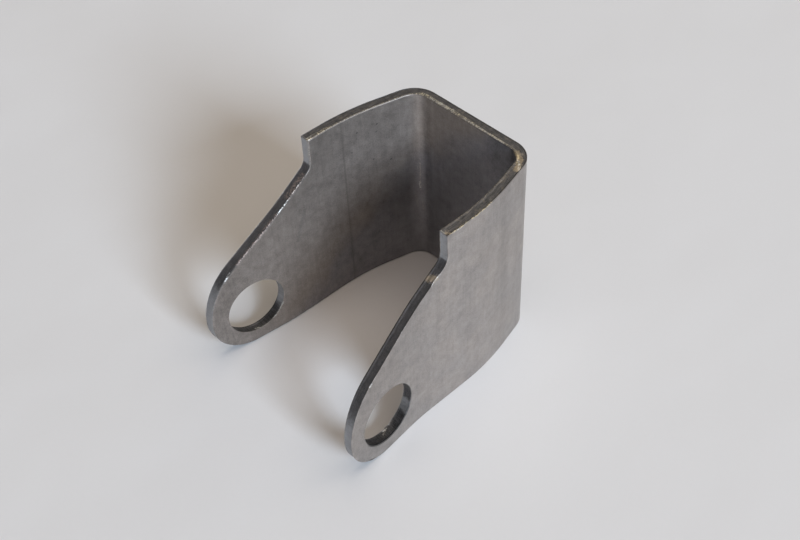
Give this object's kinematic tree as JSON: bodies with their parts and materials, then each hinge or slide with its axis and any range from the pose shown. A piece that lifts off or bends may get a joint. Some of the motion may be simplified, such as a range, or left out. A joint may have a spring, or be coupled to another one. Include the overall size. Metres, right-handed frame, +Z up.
{
  "type": "clevis bracket",
  "caption": "Folded sheet-steel clevis bracket: a flat web with two flared ears that hold a pin across their tips.",
  "frame": {"origin": "on the axis of the two pin holes, halfway between the ears", "axes": "+X along the pin's axis, across the ears; +Y from the pin towards the web; +Z up, towards the ears' high side"},
  "size_m": [0.0598, 0.074, 0.059],
  "materials": {
    "bare_steel": "dull mill finish"
  },
  "bodies": {
    "root": {"bracket": "bare_steel"}
  },
  "joints": []
}
